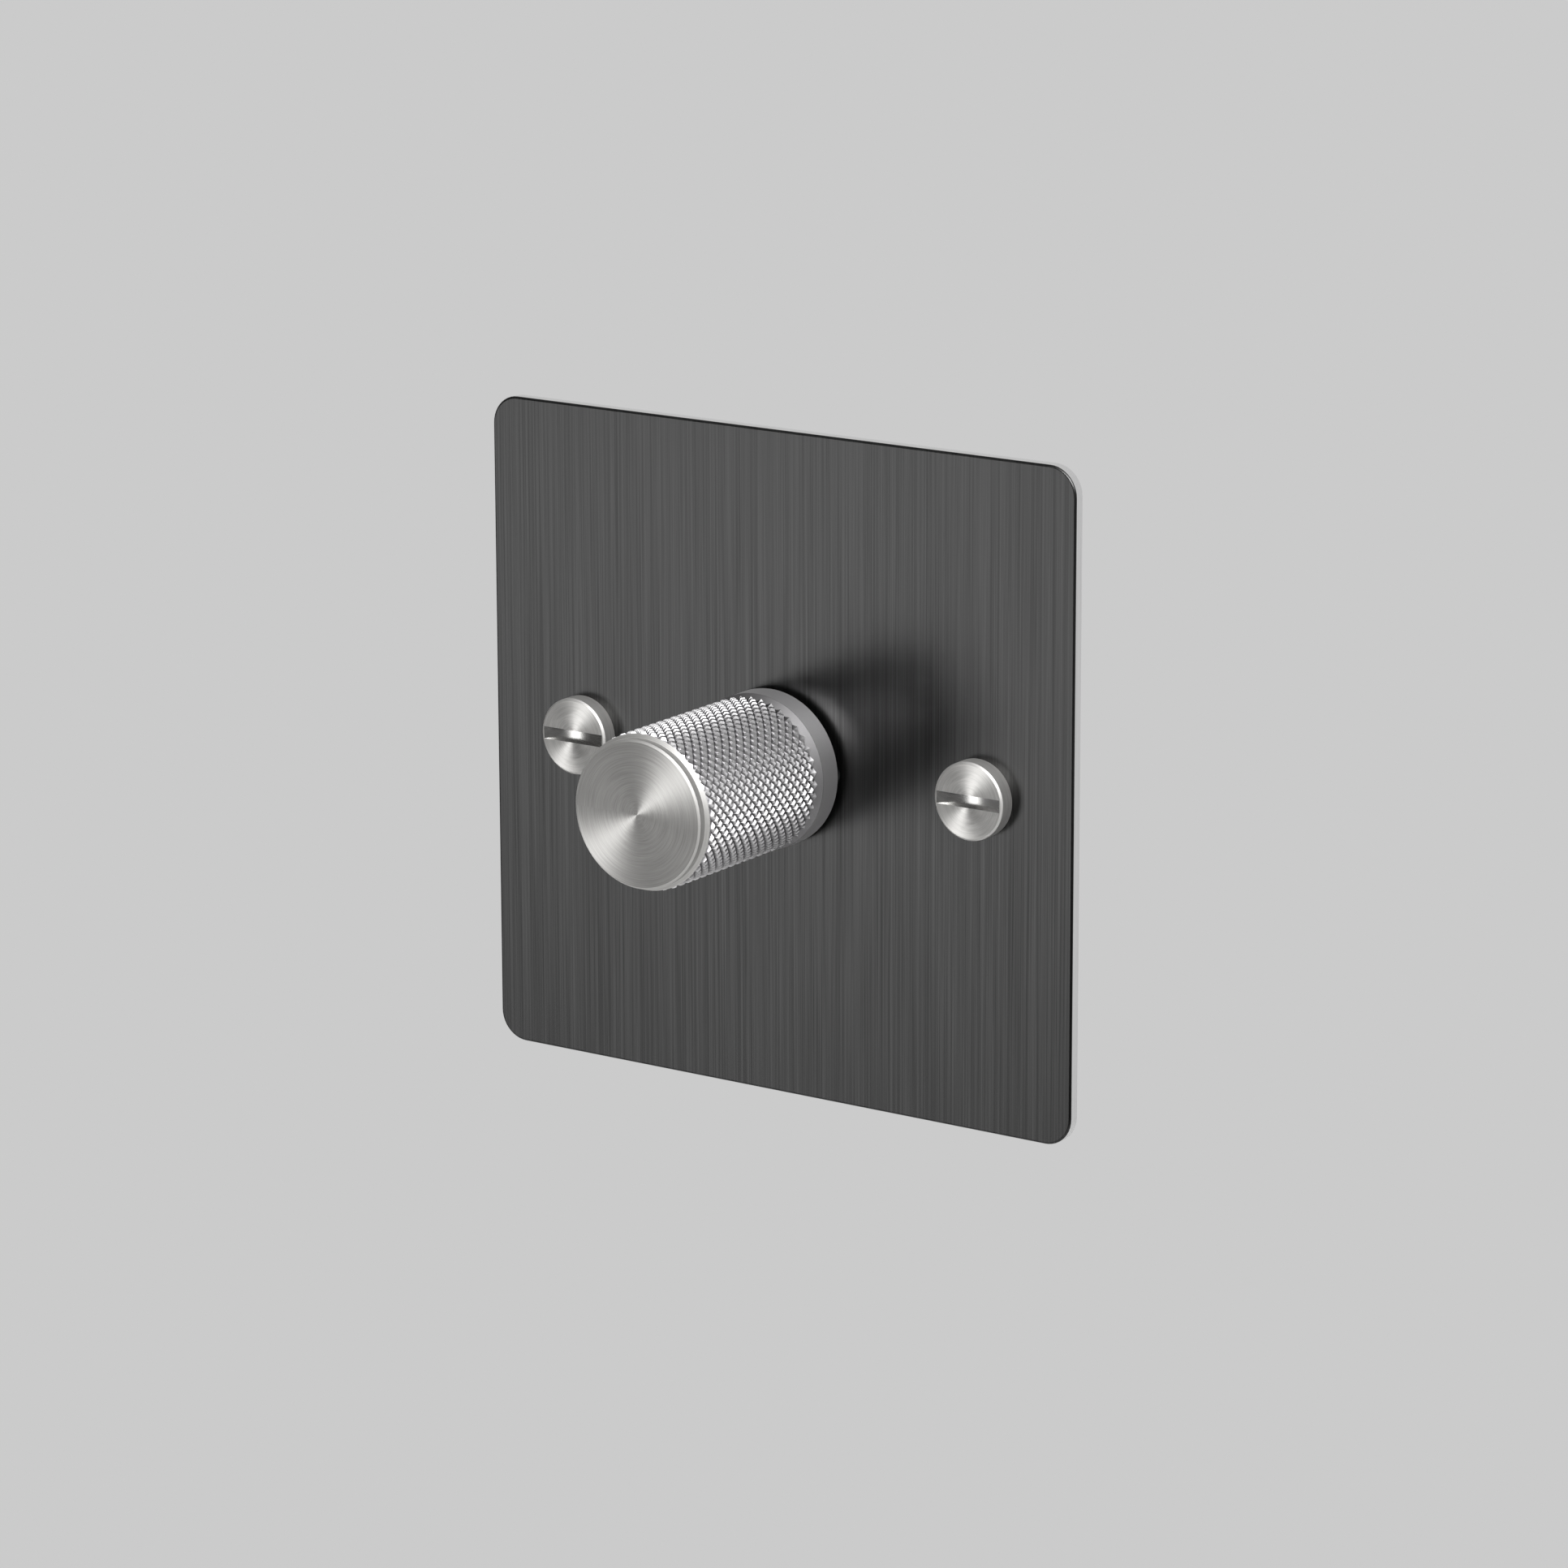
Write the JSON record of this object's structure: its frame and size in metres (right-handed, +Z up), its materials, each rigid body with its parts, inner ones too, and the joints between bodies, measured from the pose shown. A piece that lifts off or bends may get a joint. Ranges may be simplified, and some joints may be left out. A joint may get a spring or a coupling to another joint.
{
  "type": "rotary dimmer switch",
  "caption": "Wall dimmer: flat metal plate, long cross-knurled knob that turns and pushes, slotted fixing screws, and a module with terminals behind.",
  "frame": {"origin": "middle of the plane where the gasket lies on the wall, on the knob's axis", "axes": "+X right across the plate, +Z up, +Y into the wall; the knob points along -Y"},
  "size_m": [0.088, 0.0581, 0.086],
  "materials": {
    "dark_plate": "dark coating over vertical brushing",
    "turned_steel": "spun and turned, bare",
    "knurled_steel": "cross-knurled, bare",
    "gasket_rubber": "matt",
    "aluminium_sheet": "rolled sheet",
    "brass": "turned",
    "zinc_steel": "zinc plated",
    "black_steel": "black oxide",
    "spring_steel": "drawn wire",
    "bronze_spring": "spring strip",
    "black_moulding": "satin moulding",
    "white_moulding": "satin moulding",
    "grey_moulding": "satin moulding",
    "board_laminate": "solder resist",
    "track_laminate": "phenolic with a carbon track",
    "device_black": "moulded package",
    "ferrite": "matt ferrite",
    "copper_wire": "enamelled wire",
    "capacitor_yellow": "moulded box"
  },
  "bodies": {
    "base": {"wall_gasket": "gasket_rubber", "front_plate": "dark_plate", "fixing_screw_left": "turned_steel", "fixing_screw_right": "turned_steel", "heat_spreader": "aluminium_sheet", "control_bush": "brass", "bush_nut": "brass", "lock_washer": "zinc_steel", "module_housing": "black_moulding", "rear_cover": "black_moulding", "cover_screws": "zinc_steel", "circuit_board": "board_laminate", "pot_case": "zinc_steel", "track_disc": "track_laminate", "switch_case": "grey_moulding", "switch_base": "grey_moulding", "contact_blade_left": "bronze_spring", "contact_blade_right": "bronze_spring", "return_spring": "spring_steel", "power_triac": "device_black", "triac_screw": "zinc_steel", "choke_core": "ferrite", "choke_winding": "copper_wire", "suppression_capacitor": "capacitor_yellow", "terminal_block": "grey_moulding", "terminal_clamp_1": "brass", "terminal_clamp_2": "brass", "terminal_clamp_3": "brass", "terminal_screw_1": "zinc_steel", "terminal_screw_2": "zinc_steel", "terminal_screw_3": "zinc_steel", "earth_terminal": "brass", "earth_screw": "zinc_steel"},
    "rotor": {"wiper_carrier": "white_moulding", "wiper_contact": "bronze_spring"},
    "knob": {"control_shaft": "brass", "shaft_clip": "zinc_steel", "knob_grip": "knurled_steel", "knob_end_cap": "turned_steel", "knob_grub_screw": "black_steel"},
    "plunger": {"switch_plunger": "white_moulding", "contact_bridge": "bronze_spring"}
  },
  "joints": [
    {"name": "knob_turn", "type": "hinge", "parent": "base", "child": "rotor", "pos_m": [0, 0, 0], "axis": [0, 1, 0], "range_deg": [-135, 135]},
    {"name": "knob_push", "type": "slide", "parent": "rotor", "child": "knob", "axis": [0, 1, 0], "range_m": [0, 0.0007], "stiffness_N_per_m": 2800, "springref_m": -0.0011},
    {"name": "plunger_push", "type": "slide", "parent": "base", "child": "plunger", "axis": [0, 1, 0], "range_m": [0, 0.0007], "deforming": ["return_spring"]}
  ],
  "couplings": [
    {"joint": "plunger_push", "follows": "knob_push", "ratio": 1}
  ]
}
